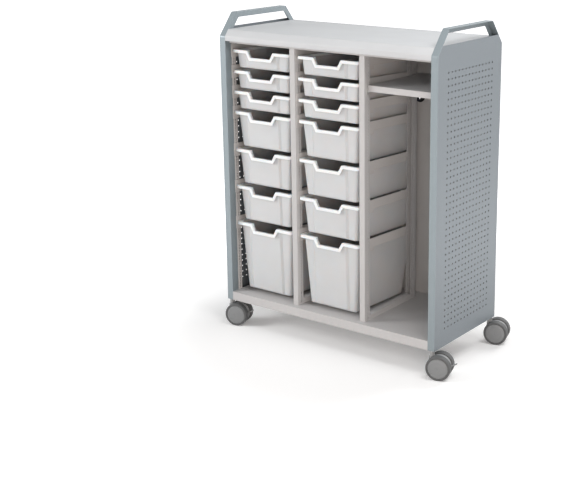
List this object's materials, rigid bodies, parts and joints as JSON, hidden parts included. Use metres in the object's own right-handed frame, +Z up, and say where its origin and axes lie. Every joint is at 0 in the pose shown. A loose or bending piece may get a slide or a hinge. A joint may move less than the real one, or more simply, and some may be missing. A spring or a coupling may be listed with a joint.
{
  "type": "tote storage cabinet",
  "caption": "Mobile open-front storage cabinet with perforated ends and hoop handles, slide-out plastic totes on sloped runners, an open bay with a shelf, and braked twin-wheel casters.",
  "frame": {"origin": "on the floor at the middle of the whole, turned casters included, which is 35.4 mm to the right of the middle of the carcass and 9 mm behind it", "axes": "+Z up, -Y out of the open front that the totes pull out of, +X to the right of someone facing the front"},
  "size_m": [1.1683, 0.5607, 1.366],
  "materials": {
    "frame_silver": "satin silver powder coat",
    "panel_silver": "satin silver powder coat",
    "top_grey": "satin light grey powder coat",
    "light_grey": "satin light grey powder coat",
    "inner_grey": "satin grey powder coat",
    "tote_white": "moulded, lightly frosted",
    "grommet_black": "moulded",
    "plated_steel": "zinc plated",
    "caster_grey": "moulded",
    "lever_grey": "moulded",
    "wheel_grey": "grey cap with a dark soft tread"
  },
  "bodies": {
    "cabinet": {"back_panel": "inner_grey", "base_pan": "light_grey", "cable_grommet": "grommet_black", "caster_stems": "plated_steel", "frame_bolts": "plated_steel", "front_top_rail": "light_grey", "left_bay_left_runners": "inner_grey", "left_bay_right_runners": "inner_grey", "left_divider_foot_rail": "light_grey", "left_divider_front_post": "light_grey", "left_divider_rear_post": "light_grey", "left_end_frame": "frame_silver", "left_end_front_upright": "inner_grey", "left_end_rear_upright": "inner_grey", "left_perforated_panel": "panel_silver", "middle_bay_left_runners": "inner_grey", "middle_bay_right_runners": "inner_grey", "rear_top_rail": "light_grey", "right_divider_foot_rail": "light_grey", "right_divider_front_post": "light_grey", "right_divider_rear_post": "light_grey", "right_end_frame": "frame_silver", "right_end_front_upright": "inner_grey", "right_end_rear_upright": "inner_grey", "right_perforated_panel": "panel_silver", "shelf": "light_grey", "shelf_clips": "plated_steel", "top_panel": "top_grey"},
    "left_tote_1": {"left_tote_1": "tote_white"},
    "left_tote_2": {"left_tote_2": "tote_white"},
    "left_tote_3": {"left_tote_3": "tote_white"},
    "left_tote_4": {"left_tote_4": "tote_white"},
    "left_tote_5": {"left_tote_5": "tote_white"},
    "left_tote_6": {"left_tote_6": "tote_white"},
    "left_tote_7": {"left_tote_7": "tote_white"},
    "middle_tote_1": {"middle_tote_1": "tote_white"},
    "middle_tote_2": {"middle_tote_2": "tote_white"},
    "middle_tote_3": {"middle_tote_3": "tote_white"},
    "middle_tote_4": {"middle_tote_4": "tote_white"},
    "middle_tote_5": {"middle_tote_5": "tote_white"},
    "middle_tote_6": {"middle_tote_6": "tote_white"},
    "middle_tote_7": {"middle_tote_7": "tote_white"},
    "front_left_caster": {"front_left_caster_hood": "caster_grey", "front_left_caster_axle": "plated_steel"},
    "front_left_caster_inner_wheel": {"front_left_caster_inner_wheel": "wheel_grey"},
    "front_left_caster_outer_wheel": {"front_left_caster_outer_wheel": "wheel_grey"},
    "front_left_caster_brake_lever": {"front_left_caster_brake_lever": "lever_grey"},
    "front_right_caster": {"front_right_caster_hood": "caster_grey", "front_right_caster_axle": "plated_steel"},
    "front_right_caster_inner_wheel": {"front_right_caster_inner_wheel": "wheel_grey"},
    "front_right_caster_outer_wheel": {"front_right_caster_outer_wheel": "wheel_grey"},
    "front_right_caster_brake_lever": {"front_right_caster_brake_lever": "lever_grey"},
    "rear_left_caster": {"rear_left_caster_hood": "caster_grey", "rear_left_caster_axle": "plated_steel"},
    "rear_left_caster_inner_wheel": {"rear_left_caster_inner_wheel": "wheel_grey"},
    "rear_left_caster_outer_wheel": {"rear_left_caster_outer_wheel": "wheel_grey"},
    "rear_right_caster": {"rear_right_caster_hood": "caster_grey", "rear_right_caster_axle": "plated_steel"},
    "rear_right_caster_inner_wheel": {"rear_right_caster_inner_wheel": "wheel_grey"},
    "rear_right_caster_outer_wheel": {"rear_right_caster_outer_wheel": "wheel_grey"}
  },
  "joints": [
    {"name": "left_tote_1_slide", "type": "slide", "parent": "cabinet", "child": "left_tote_1", "axis": [0, -0.9993, 0.0379], "range_m": [0, 0.33]},
    {"name": "left_tote_2_slide", "type": "slide", "parent": "cabinet", "child": "left_tote_2", "axis": [0, -0.9993, 0.0379], "range_m": [0, 0.33]},
    {"name": "left_tote_3_slide", "type": "slide", "parent": "cabinet", "child": "left_tote_3", "axis": [0, -0.9993, 0.0379], "range_m": [0, 0.33]},
    {"name": "left_tote_4_slide", "type": "slide", "parent": "cabinet", "child": "left_tote_4", "axis": [0, -0.9993, 0.0379], "range_m": [0, 0.33]},
    {"name": "left_tote_5_slide", "type": "slide", "parent": "cabinet", "child": "left_tote_5", "axis": [0, -0.9993, 0.0379], "range_m": [0, 0.33]},
    {"name": "left_tote_6_slide", "type": "slide", "parent": "cabinet", "child": "left_tote_6", "axis": [0, -0.9993, 0.0379], "range_m": [0, 0.33]},
    {"name": "left_tote_7_slide", "type": "slide", "parent": "cabinet", "child": "left_tote_7", "axis": [0, -0.9993, 0.0379], "range_m": [0, 0.33]},
    {"name": "middle_tote_1_slide", "type": "slide", "parent": "cabinet", "child": "middle_tote_1", "axis": [0, -0.9993, 0.0379], "range_m": [0, 0.33]},
    {"name": "middle_tote_2_slide", "type": "slide", "parent": "cabinet", "child": "middle_tote_2", "axis": [0, -0.9993, 0.0379], "range_m": [0, 0.33]},
    {"name": "middle_tote_3_slide", "type": "slide", "parent": "cabinet", "child": "middle_tote_3", "axis": [0, -0.9993, 0.0379], "range_m": [0, 0.33]},
    {"name": "middle_tote_4_slide", "type": "slide", "parent": "cabinet", "child": "middle_tote_4", "axis": [0, -0.9993, 0.0379], "range_m": [0, 0.33]},
    {"name": "middle_tote_5_slide", "type": "slide", "parent": "cabinet", "child": "middle_tote_5", "axis": [0, -0.9993, 0.0379], "range_m": [0, 0.33]},
    {"name": "middle_tote_6_slide", "type": "slide", "parent": "cabinet", "child": "middle_tote_6", "axis": [0, -0.9993, 0.0379], "range_m": [0, 0.33]},
    {"name": "middle_tote_7_slide", "type": "slide", "parent": "cabinet", "child": "middle_tote_7", "axis": [0, -0.9993, 0.0379], "range_m": [0, 0.33]},
    {"name": "front_left_caster_swivel", "type": "hinge", "parent": "cabinet", "child": "front_left_caster", "pos_m": [-0.5564, -0.238, 0.1], "axis": [0, 0, 1], "continuous": true},
    {"name": "front_left_caster_inner_wheel_spin", "type": "hinge", "parent": "front_left_caster", "child": "front_left_caster_inner_wheel", "pos_m": [-0.52569, -0.22902, 0.05], "axis": [-0.2807, 0.9598, 0], "continuous": true},
    {"name": "front_left_caster_outer_wheel_spin", "type": "hinge", "parent": "front_left_caster", "child": "front_left_caster_outer_wheel", "pos_m": [-0.52569, -0.22902, 0.05], "axis": [-0.2807, 0.9598, 0], "continuous": true},
    {"name": "front_left_caster_brake", "type": "hinge", "parent": "front_left_caster", "child": "front_left_caster_brake_lever", "pos_m": [-0.49113, -0.21891, 0.05], "axis": [-0.2807, 0.9598, 0], "range_deg": [0, 25]},
    {"name": "front_right_caster_swivel", "type": "hinge", "parent": "cabinet", "child": "front_right_caster", "pos_m": [0.4856, -0.238, 0.1], "axis": [0, 0, 1], "continuous": true},
    {"name": "front_right_caster_inner_wheel_spin", "type": "hinge", "parent": "front_right_caster", "child": "front_right_caster_inner_wheel", "pos_m": [0.51631, -0.22902, 0.05], "axis": [-0.2807, 0.9598, 0], "continuous": true},
    {"name": "front_right_caster_outer_wheel_spin", "type": "hinge", "parent": "front_right_caster", "child": "front_right_caster_outer_wheel", "pos_m": [0.51631, -0.22902, 0.05], "axis": [-0.2807, 0.9598, 0], "continuous": true},
    {"name": "front_right_caster_brake", "type": "hinge", "parent": "front_right_caster", "child": "front_right_caster_brake_lever", "pos_m": [0.55087, -0.21891, 0.05], "axis": [-0.2807, 0.9598, 0], "range_deg": [0, 25]},
    {"name": "rear_left_caster_swivel", "type": "hinge", "parent": "cabinet", "child": "rear_left_caster", "pos_m": [-0.5564, 0.22, 0.1], "axis": [0, 0, 1], "continuous": true},
    {"name": "rear_left_caster_inner_wheel_spin", "type": "hinge", "parent": "rear_left_caster", "child": "rear_left_caster_inner_wheel", "pos_m": [-0.52569, 0.22898, 0.05], "axis": [-0.2807, 0.9598, 0], "continuous": true},
    {"name": "rear_left_caster_outer_wheel_spin", "type": "hinge", "parent": "rear_left_caster", "child": "rear_left_caster_outer_wheel", "pos_m": [-0.52569, 0.22898, 0.05], "axis": [-0.2807, 0.9598, 0], "continuous": true},
    {"name": "rear_right_caster_swivel", "type": "hinge", "parent": "cabinet", "child": "rear_right_caster", "pos_m": [0.4856, 0.22, 0.1], "axis": [0, 0, 1], "continuous": true},
    {"name": "rear_right_caster_inner_wheel_spin", "type": "hinge", "parent": "rear_right_caster", "child": "rear_right_caster_inner_wheel", "pos_m": [0.51631, 0.22898, 0.05], "axis": [-0.2807, 0.9598, 0], "continuous": true},
    {"name": "rear_right_caster_outer_wheel_spin", "type": "hinge", "parent": "rear_right_caster", "child": "rear_right_caster_outer_wheel", "pos_m": [0.51631, 0.22898, 0.05], "axis": [-0.2807, 0.9598, 0], "continuous": true}
  ]
}
